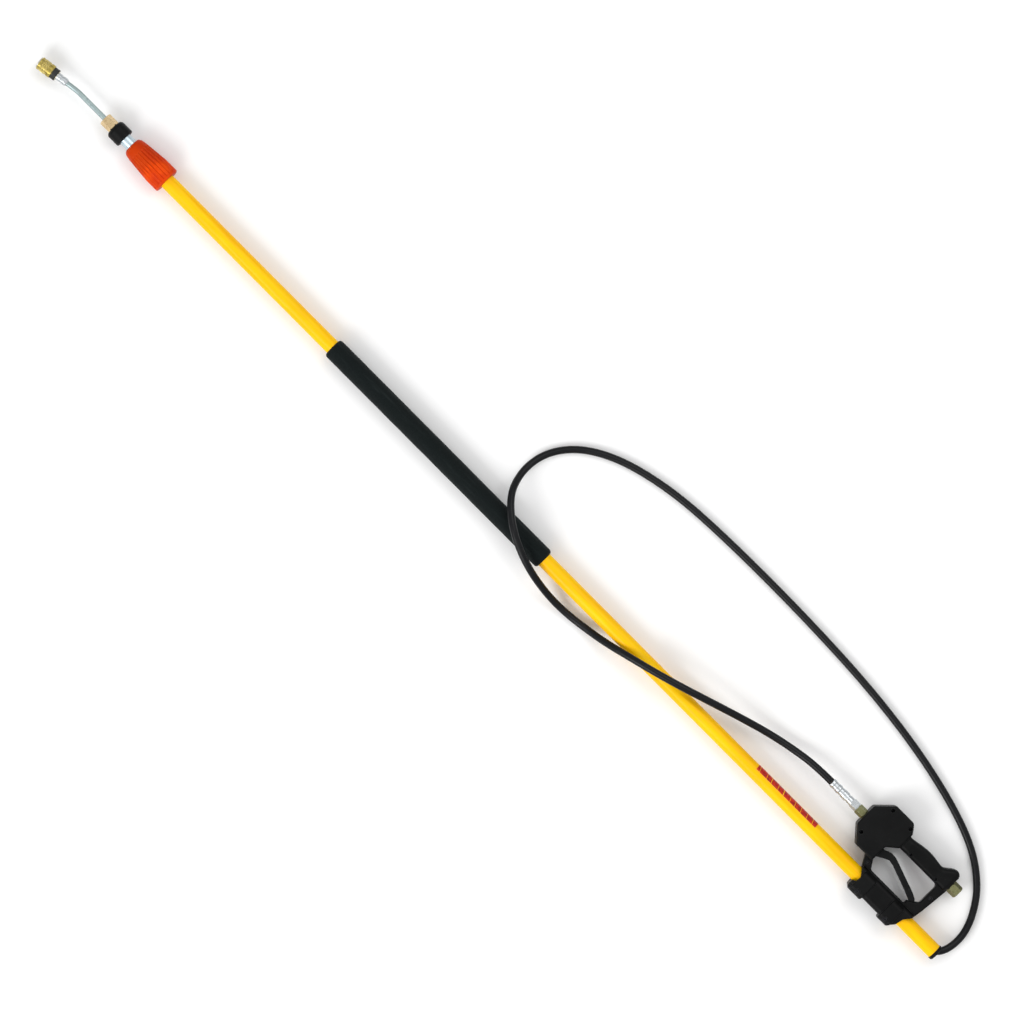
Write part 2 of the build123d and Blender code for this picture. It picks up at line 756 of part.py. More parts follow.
def gun_halves():
    """Left half above the middle plane, right half below it."""
    shell = gun_body() - gun_cavity() + inner_supports() - gun_holes()
    reach = 300
    upper = Pos(-reach / 2, reach / 6, reach / 2) * Box(reach, reach, reach)
    lower = Pos(-reach / 2, reach / 6, -reach / 2) * Box(reach, reach, reach)
    return shell & upper, shell & lower


def housing_screws():
    """Pan-head screws from the left half into the right one."""
    screws = []
    for place in SCREW_PLACES:
        head = bar_z(place, SCREW_SEAT, SCREW_SEAT + 2.2, SCREW_HEAD)
        recess = Pos(-place[0], place[1], SCREW_SEAT + 2.2) * (Box(3.6, 0.8, 2) + Box(0.8, 3.6, 2))
        screws.append(head - recess + bar_z(place, -8.5, SCREW_SEAT, SCREW_SHANK))
    return screws


def clamp_screws():
    """Socket-head bolts through the saddle's bands."""
    bolts = []
    for place in BOLT_PLACES:
        head = bar_z(place, BOLT_SEAT, BOLT_SEAT + 5, BOLT_HEAD)
        head = fillet(head.edges().filter_by(GeomType.CIRCLE).sort_by(Axis.Z)[-1], 0.5)
        head -= nut_shape(place, BOLT_SEAT + 2.4, BOLT_SEAT + 6, 4)
        bolts.append(head + bar_z(place, -BOLT_SEAT - 5, BOLT_SEAT, BOLT_SHANK))
    return bolts


def clamp_nuts():
    nuts = []
    for place in BOLT_PLACES:
        nut = nut_shape(place, -BOLT_SEAT - 4, -BOLT_SEAT, NUT_FLATS)
        nuts.append(nut - bar_z(place, -BOLT_SEAT - 5, -BOLT_SEAT + 1, BOLT_SHANK))
    return nuts


def clamp_liner():
    """Rubber sleeve between the saddle and the pole."""
    return tube_x(77, 167.5, POLE_RADIUS + LINER_THICKNESS, POLE_RADIUS)


# ---------------------------------------------------------------- gun valve
GLAND_LOW, GLAND_HIGH, PACKING_HIGH = 65, 69.5, 71
SEAT_LOW, SEAT_HIGH, CHAMBER_RADIUS = 84, 87, 5
PLUG_LOW, PIN_RADIUS, POPPET_RADIUS = 100.8, 2, 4.2
PIPE_RADIUS, PIPE_BORE = 6, 3.8
PIPE_END = VALVE_BACK + 2.5


def valve_body():
    """Brass block: outlet in front, inlet behind, and the valve chamber across."""
    body = slab(
        [
            (VALVE_FRONT, VALVE_LOW, 1.5),
            (VALVE_FRONT, VALVE_HIGH - 11, 1.5),
            (VALVE_FRONT - 11, VALVE_HIGH, 1.5),
            (VALVE_BACK, VALVE_HIGH, 1.5),
            (VALVE_BACK, VALVE_LOW, 1.5),
        ],
        VALVE_HALF,
    )
    body = round_rims(body, VALVE_HALF, 1)
    body -= bar_x(OUTLET_SHANK_START, VALVE_FRONT + 1, OUTLET_SHANK_RADIUS, y=OUTLET_Y)
    body -= bar_x(VALVE_DISTANCE, 225, 4, y=OUTLET_Y)
    body -= bar_x(VALVE_BACK - 1, PIPE_END, PIPE_RADIUS, y=INLET_Y)
    body -= bar_x(VALVE_BACK, VALVE_DISTANCE, 3.5, y=INLET_Y)
    return body - bar_y(VALVE_LOW - 1, VALVE_HIGH + 1, CHAMBER_RADIUS, VALVE_DISTANCE)


def valve_seat():
    return tube_y(SEAT_LOW, SEAT_HIGH, CHAMBER_RADIUS, 3.2, VALVE_DISTANCE)


def pin_gland():
    return tube_y(GLAND_LOW, GLAND_HIGH, CHAMBER_RADIUS, PIN_RADIUS + RUNNING_GAP, VALVE_DISTANCE)


def pin_seal():
    return tube_y(GLAND_HIGH, PACKING_HIGH, CHAMBER_RADIUS, PIN_RADIUS + RUNNING_GAP, VALVE_DISTANCE)


def valve_pin():
    """Push pin with a domed tip, the poppet on its seat, and a stem inside the spring."""
    tip = PUSHER_Y + 0.15
    pin = bar_y(tip + PIN_RADIUS, SEAT_HIGH + 0.02, PIN_RADIUS, VALVE_DISTANCE)
    pin += Pos(-VALVE_DISTANCE, tip + PIN_RADIUS, 0) * Sphere(PIN_RADIUS)
    pin += bar_y(SEAT_HIGH + 0.02, SEAT_HIGH + 3, POPPET_RADIUS, VALVE_DISTANCE)
    return pin + bar_y(SEAT_HIGH + 3, SEAT_HIGH + 8, 1.6, VALVE_DISTANCE)


def valve_spring():
    wire, radius, height = 0.4, 3.0, 5.6
    spring = coil(radius, wire, 1.7, height)
    return Location((-VALVE_DISTANCE, SEAT_HIGH + 3.5, 0), (-90, 0, 0)) * spring


def valve_plug():
    """Hex plug that closes the chamber."""
    flats = 13
    plug = bar_y(PLUG_LOW, VALVE_HIGH, CHAMBER_RADIUS, VALVE_DISTANCE)
    hexagon = extrude(RegularPolygon(flats / math.sqrt(3), 6), 5)
    return plug + Location((-VALVE_DISTANCE, VALVE_HIGH, 0), (-90, 0, 0)) * hexagon


def inlet_pipe():
    return tube_x(68, PIPE_END, PIPE_RADIUS, PIPE_BORE, y=INLET_Y)


INLET_MOUTH, INLET_HEX_END, INLET_FLATS = 40.5, 57.5, 19
INLET_THREAD_RADIUS, INLET_THREAD_LENGTH = 7.5, 14


def inlet_fitting():
    """Hex inlet at the handle's end: threaded mouth outside, shank and pipe socket inside."""
    body = hex_x(INLET_MOUTH, INLET_HEX_END, INLET_FLATS, y=INLET_Y, bevel=1.6)
    body += bar_x(INLET_HEX_END, INLET_SHANK_END, INLET_SHANK_RADIUS, y=INLET_Y)
    body -= bar_x(INLET_MOUTH - 1, INLET_MOUTH + INLET_THREAD_LENGTH, INLET_THREAD_RADIUS, y=INLET_Y)
    body -= bar_x(INLET_MOUTH, INLET_SHANK_END + 1, PIPE_BORE, y=INLET_Y)
    return body - bar_x(68, INLET_SHANK_END + 1, PIPE_RADIUS, y=INLET_Y)


OUTLET_HEX_START, OUTLET_HEX_END, OUTLET_FLATS = 236, 251, 15.5
STEM_SOCKET_RADIUS, STEM_SOCKET_LENGTH = 5, 6


def outlet_adapter():
    """Hex at the gun's outlet with a shank into the valve body."""
    body = hex_x(OUTLET_HEX_START, OUTLET_HEX_END, OUTLET_FLATS, y=OUTLET_Y)
    body += bar_x(OUTLET_SHANK_START, OUTLET_HEX_START, OUTLET_SHANK_RADIUS, y=OUTLET_Y)
    body -= bar_x(OUTLET_SHANK_START - 1, OUTLET_HEX_END, HOSE_BORE, y=OUTLET_Y)
    socket_start = OUTLET_HEX_END - STEM_SOCKET_LENGTH
    return body - bar_x(socket_start, OUTLET_HEX_END + 1, STEM_SOCKET_RADIUS, y=OUTLET_Y)


# ---------------------------------------------------------------- trigger and latch
def trigger():
    """Curved lever: pivot eye and pusher inside the head, finger curve outside."""
    lever = slab(
        [
            (203, 40, 5),
            (203, 53, 5),
            (197, PUSHER_Y, 3),
            (174, PUSHER_Y, 3),
            (161, 63, 8),
            (150, 62, 15),
            (92, 41.4, 12),
            (83, 36.6, 4),
            (79.5, 31, 3),
            (86, 27.2, 4),
            (104, 35, 30),
            (146, 50, 15),
            (156, 52, 8),
            (167, 46.5, 10),
            (178, 39.8, 6),
        ],
        TRIGGER_HALF,
    )
    lever = round_rims(lever, TRIGGER_HALF, 1.5)
    lever -= bar_z(TRIGGER_PIVOT, -10, 10, TRIGGER_PIN_RADIUS + RUNNING_GAP)
    lever -= latch_channel()
    return lever - bar_z(LATCH_PIVOT, -10, 10, LATCH_PIN_RADIUS)


def along_trigger_back(piece):
    """Put a piece drawn about the latch pivot, with X along the trigger's back, in place."""
    distance, y = LATCH_PIVOT
    return Location((-distance, y, 0), (0, 0, 180 - TRIGGER_BACK_SLOPE)) * piece


def latch_channel():
    """Channel in the trigger's back that the folded latch lies in."""
    floor = -LATCH_THICKNESS / 2 - 0.4
    length = LATCH_LENGTH + 9
    middle = Pos(length / 2 - 4, -floor - 6, 0)
    return along_trigger_back(middle * Box(length, 12, 2 * (LATCH_HALF + 0.4)))


def safety_latch():
    """Flip latch: eye on its pin, lever, and a ridge for the finger at its free end."""
    lever = Pos(LATCH_LENGTH / 2, 0, 0) * SlotCenterToCenter(LATCH_LENGTH, LATCH_THICKNESS)
    body = extrude(lever, LATCH_HALF, both=True)
    return along_trigger_back(body) - bar_z(LATCH_PIVOT, -10, 10, LATCH_PIN_RADIUS + RUNNING_GAP)


def latch_pin():
    return bar_z(LATCH_PIVOT, -TRIGGER_HALF + 0.5, TRIGGER_HALF - 0.5, LATCH_PIN_RADIUS)


def trigger_pivot():
    return bar_z(TRIGGER_PIVOT, -17, 17, TRIGGER_PIN_RADIUS)


# ---------------------------------------------------------------- free hose
def route_points(route):
    """The route in the pole's frame."""
    return [Vector(x, y, height - REST_HEIGHT) for x, y, height in route]


def bend_radii(points):
    """Radius of each corner's arc: as large as the shorter of its two runs allows."""
    radii = []
    for before, corner, after in zip(points, points[1:], points[2:]):
        turn = math.radians((corner - before).get_angle(after - corner))
        shorter = min((corner - before).length, (after - corner).length)
        radii.append(0.45 * shorter / math.tan(turn / 2))
    return radii


def hose_path(route):
    points = route_points(route)
    return FilletPolyline(*points, radius=bend_radii(points))


def hose_tube(radius, route):
    path = hose_path(route)
    section = Plane(origin=path @ 0, z_dir=path % 0) * Circle(radius)
    return sweep(section, path)


def hose_loop():
    return hose_tube(HOSE_RADIUS, HOSE_ROUTE)


def hose_stem():
    """Hex stem screwed into the outlet adapter, with its barb inside the ferrule."""
    flats = 14
    body = hex_x(OUTLET_HEX_END, FERRULE_START, flats, y=OUTLET_Y)
    socket_start = OUTLET_HEX_END - STEM_SOCKET_LENGTH
    body += bar_x(socket_start, OUTLET_HEX_END, STEM_SOCKET_RADIUS, y=OUTLET_Y)
    body += bar_x(FERRULE_START, FERRULE_END - 4, 4.4, y=OUTLET_Y)
    return body - bar_x(socket_start - 1, FERRULE_END, 2.5, y=OUTLET_Y)


def hose_ferrule():
    """Crimped sleeve on the hose's end."""
    return Pos(0, OUTLET_Y, 0) * crimped_sleeve(FERRULE_START, FERRULE_END, FERRULE_RADIUS, 4.4)


# ---------------------------------------------------------------- row frame and files
def place_in_row(piece):
    """Move a piece from the pole's frame to the row's frame."""
    middle_x = (CAP_FLANGE - TIP_DISTANCE) / 2
    middle_y = (GUN_TOP + SADDLE_BOTTOM) / 2
    shift = (-middle_x, -middle_y, REST_HEIGHT)
    return Location(shift) * piece


def save(node, shape):
    """Write one node's STEP file; a list of solids becomes one group."""
    pieces = shape if isinstance(shape, list) else [shape]
    solids = [solid for piece in pieces for solid in place_in_row(piece).solids()]
    group = solids[0] if len(solids) == 1 else Compound(children=solids)
    group.label = node
    export_step(group, os.path.join("parts", node + ".step"))


def report_hose():
    """Print the arc radii, the tube's length and how its volume compares with section x length."""
    path = hose_path(HOSE_ROUTE)
    radii = bend_radii(route_points(HOSE_ROUTE))
    print("hose arc radii", [round(radius) for radius in radii])
    section = math.pi * HOSE_RADIUS**2
    print("hose length", round(path.length, 1), "volume ratio", hose_loop().volume / (section * path.length))


def main():
    os.makedirs("parts", exist_ok=True)
    left, right = gun_halves()
    nodes = {
        "outer_tube": outer_tube(),
        "base_end_cap": base_end_cap(),
        "foam_grip": foam_grip(),
        "label_strip": label_strip(),
        "lock_body": lock_body(),
        "lock_collet": lock_collet(),
        "lock_collar": lock_collar(),
        "inner_tube": inner_tube(),
        "slide_bushing": slide_bushing(),
        "tip_cap": tip_cap(),
        "bulkhead_fitting": bulkhead_fitting(),
        "bulkhead_nut": bulkhead_nut(),
        "inner_hose": inner_hose(),
        "inner_hose_ferrule": inner_hose_ferrule(),
        "lance_tube": lance_tube(),
        "lance_adapter": lance_adapter(),
        "coupler_body": coupler_body(),
        "coupler_ring": coupler_ring(),
        "coupler_sleeve": coupler_sleeve(),
        "sleeve_spring": sleeve_spring(),
        "coupler_balls": coupler_balls(),
        "coupler_seal": coupler_seal(),
        "sleeve_stop_ring": sleeve_stop_ring(),
        "gun_housing_left": left,
        "gun_housing_right": right,
        "housing_screws": housing_screws(),
        "clamp_screws": clamp_screws(),
        "clamp_nuts": clamp_nuts(),
        "clamp_liner": clamp_liner(),
        "valve_body": valve_body(),
        "valve_seat": valve_seat(),
        "valve_pin": valve_pin(),
        "valve_spring": valve_spring(),
        "valve_plug": valve_plug(),
        "pin_gland": pin_gland(),
        "pin_seal": pin_seal(),
        "inlet_pipe": inlet_pipe(),
        "inlet_fitting": inlet_fitting(),
        "outlet_adapter": outlet_adapter(),
        "trigger": trigger(),
        "trigger_pivot": trigger_pivot(),
        "safety_latch": safety_latch(),
        "latch_pin": latch_pin(),
        "hose_loop": hose_loop(),
        "hose_stem": hose_stem(),
        "hose_ferrule": hose_ferrule(),
    }
    for node, shape in nodes.items():
        save(node, shape)
    report_hose()


main()
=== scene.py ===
import json
import math

import bmesh
import bpy
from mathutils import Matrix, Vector, noise


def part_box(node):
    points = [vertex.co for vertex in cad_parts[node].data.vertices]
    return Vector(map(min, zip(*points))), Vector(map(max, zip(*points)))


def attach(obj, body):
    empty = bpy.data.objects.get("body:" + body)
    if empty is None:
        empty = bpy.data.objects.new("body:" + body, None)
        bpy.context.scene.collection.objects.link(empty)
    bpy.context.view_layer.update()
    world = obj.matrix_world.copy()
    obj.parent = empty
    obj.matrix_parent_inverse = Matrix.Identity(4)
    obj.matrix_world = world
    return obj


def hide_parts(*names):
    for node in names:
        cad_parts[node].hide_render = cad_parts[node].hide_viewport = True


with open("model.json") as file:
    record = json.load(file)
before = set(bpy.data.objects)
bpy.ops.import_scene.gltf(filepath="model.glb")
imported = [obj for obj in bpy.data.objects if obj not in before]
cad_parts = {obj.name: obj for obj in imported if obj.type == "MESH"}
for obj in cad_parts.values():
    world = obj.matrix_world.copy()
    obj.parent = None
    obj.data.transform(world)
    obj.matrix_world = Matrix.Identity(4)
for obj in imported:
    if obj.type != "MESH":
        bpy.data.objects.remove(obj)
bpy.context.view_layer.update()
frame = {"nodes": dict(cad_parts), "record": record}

# Looks for the telescoping wash wand. Everything is in metres in the row frame. Places are given as
# (x, y, z) millimetres in the pole's own frame, like the CAD: X along the pole with 0 at its base
# end and the tip at negative x, Y towards the gun, Z up from the pole's axis. at() converts them.

MM = 0.001
NODES = frame["nodes"]
TUBE_LOW, TUBE_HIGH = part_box("outer_tube")
BASE_X = TUBE_HIGH.x
AXIS_Y = (TUBE_LOW.y + TUBE_HIGH.y) / 2
AXIS_Z = (TUBE_LOW.z + TUBE_HIGH.z) / 2
TUBE_RADIUS = (TUBE_HIGH.y - TUBE_LOW.y) / 2


def at(x, y, z):
    """A place in the pole's frame, in millimetres, as a point in the row frame."""
    return Vector((BASE_X + x * MM, AXIS_Y + y * MM, AXIS_Z + z * MM))


def link(obj):
    """Put a new object in the scene."""
    bpy.context.scene.collection.objects.link(obj)
    return obj


# ---------------------------------------------------------------- camera
PHOTO_WIDTH = 1638.4 * MM  # how much the picture spans at the height of the pole's axis
PHOTO_CENTRE = at(-976.6, 17.4, 0)
PHOTO_TURN = math.radians(45.117)  # the pole lies on the picture's diagonal
CAMERA_HEIGHT = 8.0  # above the pole's axis, in metres
CAMERA_REACH = 100
SENSOR = 36.0


def make_camera():
    """A camera straight above the wand, with the photo's centre, width and turn."""
    data = bpy.data.cameras.new("camera")
    data.sensor_width = SENSOR
    data.lens = SENSOR * CAMERA_HEIGHT / PHOTO_WIDTH
    data.clip_end = CAMERA_REACH
    camera = link(bpy.data.objects.new("camera", data))
    camera.location = PHOTO_CENTRE + Vector((0, 0, CAMERA_HEIGHT))
    camera.rotation_euler = (0, 0, PHOTO_TURN)
    bpy.context.scene.camera = camera


make_camera()

# ---------------------------------------------------------------- free hose
HOSE_DIAMETER = 12 * MM
HOSE_STEPS = 12  # steps of the smooth line from one route point to the next
HOSE_ROUNDNESS = 10  # how finely the tube's section is cut
# (x, y, height above the surface) in millimetres, the same route as the CAD tube's
HOSE_ROUTE = [
    (-28, -4.6, 23),
    (-2.5, -2, 23),
    (8.3, 11, 21),
    (13.9, 32, 16.5),
    (12.6, 58, 11),
    (0.5, 88.4, 8),
    (-24, 123, 6.4),
    (-71, 158.5, 6.4),
    (-143, 185.3, 6.4),
    (-243, 208, 6.4),
    (-363, 223.4, 6.4),
    (-493, 230, 6.4),
    (-623, 231.6, 6.4),
    (-733, 229.2, 6.4),
    (-803, 224.2, 6.4),
    (-863, 213.6, 6.4),
    (-913, 199, 6.4),
    (-955, 178, 6.4),
    (-985, 152.5, 6.8),
    (-1004.5, 122, 9),
    (-1011.5, 90, 16.5),
    (-1008.5, 61, 29),
    (-998, 36, 46),
    (-972, 10, 59),
    (-938, -11, 60),
    (-893, -28, 50),
    (-844, -36, 22),
    (-802, -36, 8),
    (-762, -31, 9),
    (-722, -24, 27),
    (-680, -13, 46),
    (-635, -1.5, 55),
    (-585, 13, 55),
    (-535, 29, 43),
    (-485, 44.5, 27),
    (-435, 59, 16),
    (-385, 69.5, 16),
    (-344, 75.2, 23),
    (-309, 75.2, 23),
]


def hose_spline():
    """The hose's centre line as one smooth open spline on a curve object."""
    curve = bpy.data.curves.new("hose_line", "CURVE")
    curve.dimensions = "3D"
    spline = curve.splines.new("NURBS")
    spline.points.add(len(HOSE_ROUTE) - 1)
    for point, (x, y, height) in zip(spline.points, HOSE_ROUTE):
        place = at(x, y, 0)
        point.co = (place.x, place.y, height * MM, 1)
    spline.order_u = 3
    spline.use_endpoint_u = True
    spline.resolution_u = HOSE_STEPS
    return bpy.data.objects.new("hose_line", curve)


def make_hose():
    """The hose as a mesh tube along its spline, from inside the base cap to its ferrule at the gun."""
    line = link(hose_spline())
    path = [vertex.co.copy() for vertex in bpy.data.meshes.new_from_object(line).vertices]
    line.data.bevel_depth = HOSE_DIAMETER / 2
    line.data.bevel_resolution = HOSE_ROUNDNESS
    line.data.use_fill_caps = True
    graph = bpy.context.evaluated_depsgraph_get()
    tube = bpy.data.meshes.new_from_object(line.evaluated_get(graph))
    bpy.data.objects.remove(line)
    hose = link(bpy.data.objects.new("hose", tube))
    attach(hose, "pole")
    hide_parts("hose_loop")
    return hose


HOSE = make_hose()


# ---------------------------------------------------------------- material graphs
MIX_FIRST, MIX_SECOND, MIX_RESULT = 6, 7, 2  # the Mix node's colour sockets; their names repeat
BEVEL_SAMPLES = 4
EDGE_NONE, EDGE_FULL = 0.995, 0.9  # cosine between the rounded and the true normal


class Graph:
    """A material with a Principled shader and short calls for the nodes that feed it."""

    def __init__(self, name):
        self.material = bpy.data.materials.new(name)
        self.material.use_nodes = True
        self.tree = self.material.node_tree
        self.shader = self.tree.nodes["Principled BSDF"]
        self.object_place = self.tree.nodes.new("ShaderNodeTexCoord").outputs["Object"]

    def value(self, **sockets):
        """Set plain values on the shader: names use _ for spaces."""
        for name, value in sockets.items():
            self.shader.inputs[name.replace("_", " ")].default_value = value

    def feed(self, name, output):
        """Link a node's output to one of the shader's inputs."""
        self.tree.links.new(output, self.shader.inputs[name])

    def make(self, kind, inputs=None, **settings):
        """A node with its settings and inputs; an input may be a value or another node's output."""
        node = self.tree.nodes.new(kind)
        for name, value in settings.items():
            setattr(node, name, value)
        for name, value in (inputs or {}).items():
            if isinstance(value, bpy.types.NodeSocket):
                self.tree.links.new(value, node.inputs[name])
            else:
                node.inputs[name].default_value = value
        return node

    def stretched(self, x, y, z):
        """Object coordinates multiplied along each axis."""
        inputs = {"Vector": self.object_place, "Scale": (x, y, z)}
        return self.make("ShaderNodeMapping", inputs).outputs["Vector"]

    def noise(self, scale, detail=4, roughness=0.55, place=None):
        """Cloudy noise around 0.5; scale is in features for each unit of its place."""
        inputs = {
            "Vector": place or self.object_place,
            "Scale": scale,
            "Detail": detail,
            "Roughness": roughness,
        }
        return self.make("ShaderNodeTexNoise", inputs).outputs["Fac"]

    def cells(self, scale):
        """Small cells, as the distance to the nearest cell's middle."""
        inputs = {"Vector": self.object_place, "Scale": scale}
        return self.make("ShaderNodeTexVoronoi", inputs).outputs["Distance"]

    def remap(self, source, low, high, to_low=0.0, to_high=1.0):
        """Stretch low to high onto a new range, with soft ends."""
        inputs = {"Value": source, "From Min": low, "From Max": high, "To Min": to_low, "To Max": to_high}
        node = self.make("ShaderNodeMapRange", inputs, interpolation_type="SMOOTHSTEP")
        return node.outputs["Result"]

    def math(self, operation, first, second=0.0):
        """One step of arithmetic on values or other nodes' outputs."""
        return self.make("ShaderNodeMath", {0: first, 1: second}, operation=operation).outputs[0]

    def product(self, first, *others):
        """All of the given values multiplied together."""
        for other in others:
            first = self.math("MULTIPLY", first, other)
        return first

    def axes(self):
        """The X, Y and Z of the object's own coordinates."""
        node = self.make("ShaderNodeSeparateXYZ", {"Vector": self.object_place})
        return node.outputs["X"], node.outputs["Y"], node.outputs["Z"]

    def blend(self, share, first, second):
        """Colour between two colours; either may be another node's colour."""
        node = self.make("ShaderNodeMix", {"Factor": share}, data_type="RGBA")
        for index, colour in ((MIX_FIRST, first), (MIX_SECOND, second)):
            if isinstance(colour, bpy.types.NodeSocket):
                self.tree.links.new(colour, node.inputs[index])
            else:
                node.inputs[index].default_value = (*colour, 1)
        return node.outputs[MIX_RESULT]

    def softened(self, radius):
        """Normals as if edges were rounded by a radius."""
        return self.make("ShaderNodeBevel", {"Radius": radius}, samples=BEVEL_SAMPLES).outputs["Normal"]

    def edge(self, radius):
        """1 on sharp edges, 0 on flat faces, from how far a rounded normal leaves the true one."""
        flat = self.make("ShaderNodeNewGeometry").outputs["Normal"]
        normals = {0: self.softened(radius), 1: flat}
        cosine = self.make("ShaderNodeVectorMath", normals, operation="DOT_PRODUCT")
        return self.remap(cosine.outputs["Value"], EDGE_NONE, EDGE_FULL)

    def bump(self, layers, rounding=0.0):
        """Chain of bumps from (height output, strength, distance) layers over softened edges."""
        normal = self.softened(rounding) if rounding else None
        for height, strength, distance in layers:
            inputs = {"Height": height, "Strength": strength, "Distance": distance}
            if normal is not None:
                inputs["Normal"] = normal
            normal = self.make("ShaderNodeBump", inputs).outputs["Normal"]
        self.feed("Normal", normal)


YELLOW_DARK = (0.87, 0.41, 0.0)
YELLOW_LIGHT = (0.95, 0.53, 0.0)
YELLOW_PALE = (0.97, 0.64, 0.0)
YELLOW_SCUFFED = (0.54, 0.34, 0.04)


def yellow_tube():
    """Glossy yellow tube: fine fibres along it, faint clouding, a few scuffs along its length."""
    g = Graph("yellow_fibreglass")
    fibres = g.noise(1.0, detail=6, roughness=0.6, place=g.stretched(14, 1900, 1900))
    clouds = g.noise(1.0, detail=3, roughness=0.5, place=g.stretched(9, 60, 60))
    scuffs = g.remap(g.noise(1.0, detail=5, roughness=0.7, place=g.stretched(26, 420, 420)), 0.64, 0.74)
    base = g.blend(g.remap(fibres, 0.35, 0.65), YELLOW_DARK, YELLOW_LIGHT)
    base = g.blend(g.remap(clouds, 0.35, 0.7, to_low=0.0, to_high=0.5), base, YELLOW_PALE)
    base = g.blend(g.product(scuffs, 0.35), base, YELLOW_SCUFFED)
    g.feed("Base Color", base)
    g.feed("Roughness", g.remap(clouds, 0.3, 0.7, to_low=0.3, to_high=0.42))
    g.value(Specular_IOR_Level=0.1, Coat_Weight=0.03, Coat_Roughness=0.15)
    g.bump([(fibres, 0.12, 0.2 * MM), (scuffs, 0.25, 0.08 * MM)], rounding=0.4 * MM)
    return g.material


MOULDED_DARK = (0.0014, 0.0016, 0.0017)
MOULDED_LIGHT = (0.0038, 0.0041, 0.0042)
MOULDED_DUST = (0.036, 0.036, 0.035)
MOULDED_WORN = (0.06, 0.06, 0.062)


def moulded_black(name, shade, grip=False):
    """Black moulded plastic with a spark-eroded grain; the gun's grip also has a field of fine dots."""
    g = Graph(name)
    grain = g.noise(1400, detail=3, roughness=0.6)
    patches = g.noise(26, detail=3, roughness=0.5)
    dust = g.remap(g.noise(310, detail=6, roughness=0.7), 0.56, 0.74)
    worn = g.product(g.edge(0.9 * MM), g.remap(g.noise(150, detail=4), 0.36, 0.56))
    dark = tuple(channel * shade for channel in MOULDED_DARK)
    light = tuple(channel * shade for channel in MOULDED_LIGHT)
    base = g.blend(g.remap(patches, 0.3, 0.7), dark, light)
    base = g.blend(g.product(dust, 0.16), base, MOULDED_DUST)
    base = g.blend(g.product(worn, 0.8), base, MOULDED_WORN)
    g.feed("Base Color", base)
    g.feed("Roughness", g.remap(grain, 0.3, 0.7, to_low=0.34, to_high=0.56))
    g.value(Specular_IOR_Level=0.12)
    layers = [(grain, 0.5, 0.22 * MM)]
    if grip:
        layers.append((grip_dots(g), 1.0, 0.6 * MM))
    g.bump(layers, rounding=0.6 * MM)
    return g.material


GRIP_LOW = at(-148, 80.5, 0)  # two corners of the dotted field on the handle
GRIP_HIGH = at(-88, 103, 0)
GRIP_FADE = 2 * MM
DOT_PITCH = 2.6 * MM


def grip_dots(g):
    """Rows of raised dots inside the grip's field, as a height."""
    x, y, _ = g.axes()
    turns = 2 * math.pi / DOT_PITCH
    along = g.math("SINE", g.product(x, turns))
    across = g.math("SINE", g.product(y, turns))
    dots = g.remap(g.product(along, across), 0.15, 0.75)
    inside = g.product(
        g.remap(x, GRIP_LOW.x - GRIP_FADE, GRIP_LOW.x),
        g.remap(x, GRIP_HIGH.x + GRIP_FADE, GRIP_HIGH.x),
        g.remap(y, GRIP_LOW.y - GRIP_FADE, GRIP_LOW.y),
        g.remap(y, GRIP_HIGH.y + GRIP_FADE, GRIP_HIGH.y),
    )
    return g.product(dots, inside)


FOAM_DARK = (0.0016, 0.0036, 0.0037)
FOAM_LIGHT = (0.0052, 0.0088, 0.0090)
FOAM_RUBBED = (0.012, 0.018, 0.018)


def foam_material():
    """Closed-cell foam: a skin of tiny cells with a soft sheen and faint rub marks along it."""
    g = Graph("foam")
    cells = g.cells(900)
    grain = g.noise(520, detail=6, roughness=0.7)
    rubbed = g.remap(g.noise(1.0, detail=4, roughness=0.6, place=g.stretched(12, 130, 130)), 0.5, 0.75)
    base = g.blend(g.remap(grain, 0.3, 0.7), FOAM_DARK, FOAM_LIGHT)
    base = g.blend(g.product(rubbed, 0.5), base, FOAM_RUBBED)
    g.feed("Base Color", base)
    g.feed("Roughness", g.remap(rubbed, 0, 1, to_low=0.86, to_high=0.7))
    g.value(Sheen_Weight=0.03, Sheen_Roughness=0.5, Specular_IOR_Level=0.14)
    g.bump([(cells, 0.7, 0.5 * MM), (grain, 0.5, 0.6 * MM)])
    return g.material


HOSE_DARK = (0.0022, 0.0025, 0.0033)
HOSE_LIGHT = (0.0055, 0.006, 0.0072)
HOSE_DUST = (0.018, 0.018, 0.018)


def hose_material():
    """Smooth black hose cover with the faint weave of its wrapping and dust in it."""
    g = Graph("hose_rubber")
    grain = g.noise(1.0, detail=2, roughness=0.5, place=g.stretched(700, 700, 700))
    weave = g.cells(1100)
    dust = g.remap(g.noise(38, detail=5, roughness=0.6), 0.52, 0.72)
    base = g.blend(g.remap(grain, 0.35, 0.65), HOSE_DARK, HOSE_LIGHT)
    base = g.blend(g.product(dust, 0.25), base, HOSE_DUST)
    g.feed("Base Color", base)
    g.feed("Roughness", g.remap(dust, 0, 1, to_low=0.34, to_high=0.52))
    g.value(Specular_IOR_Level=0.18)
    g.bump([(weave, 0.25, 0.12 * MM), (grain, 0.25, 0.15 * MM)])
    return g.material


FLUTE_FLOOR, FLUTE_TOP = 21.2 * MM, 22.2 * MM  # the painted shade in the flutes fades out between these radii
COLLAR_DARK = (0.55, 0.03, 0.0)
COLLAR_LIGHT = (0.75, 0.064, 0.0)
# darker red painted into the flutes as shade
COLLAR_FLUTE_SHADE = (0.16, 0.008, 0.001)
COLLAR_WORN = (0.92, 0.20, 0.05)


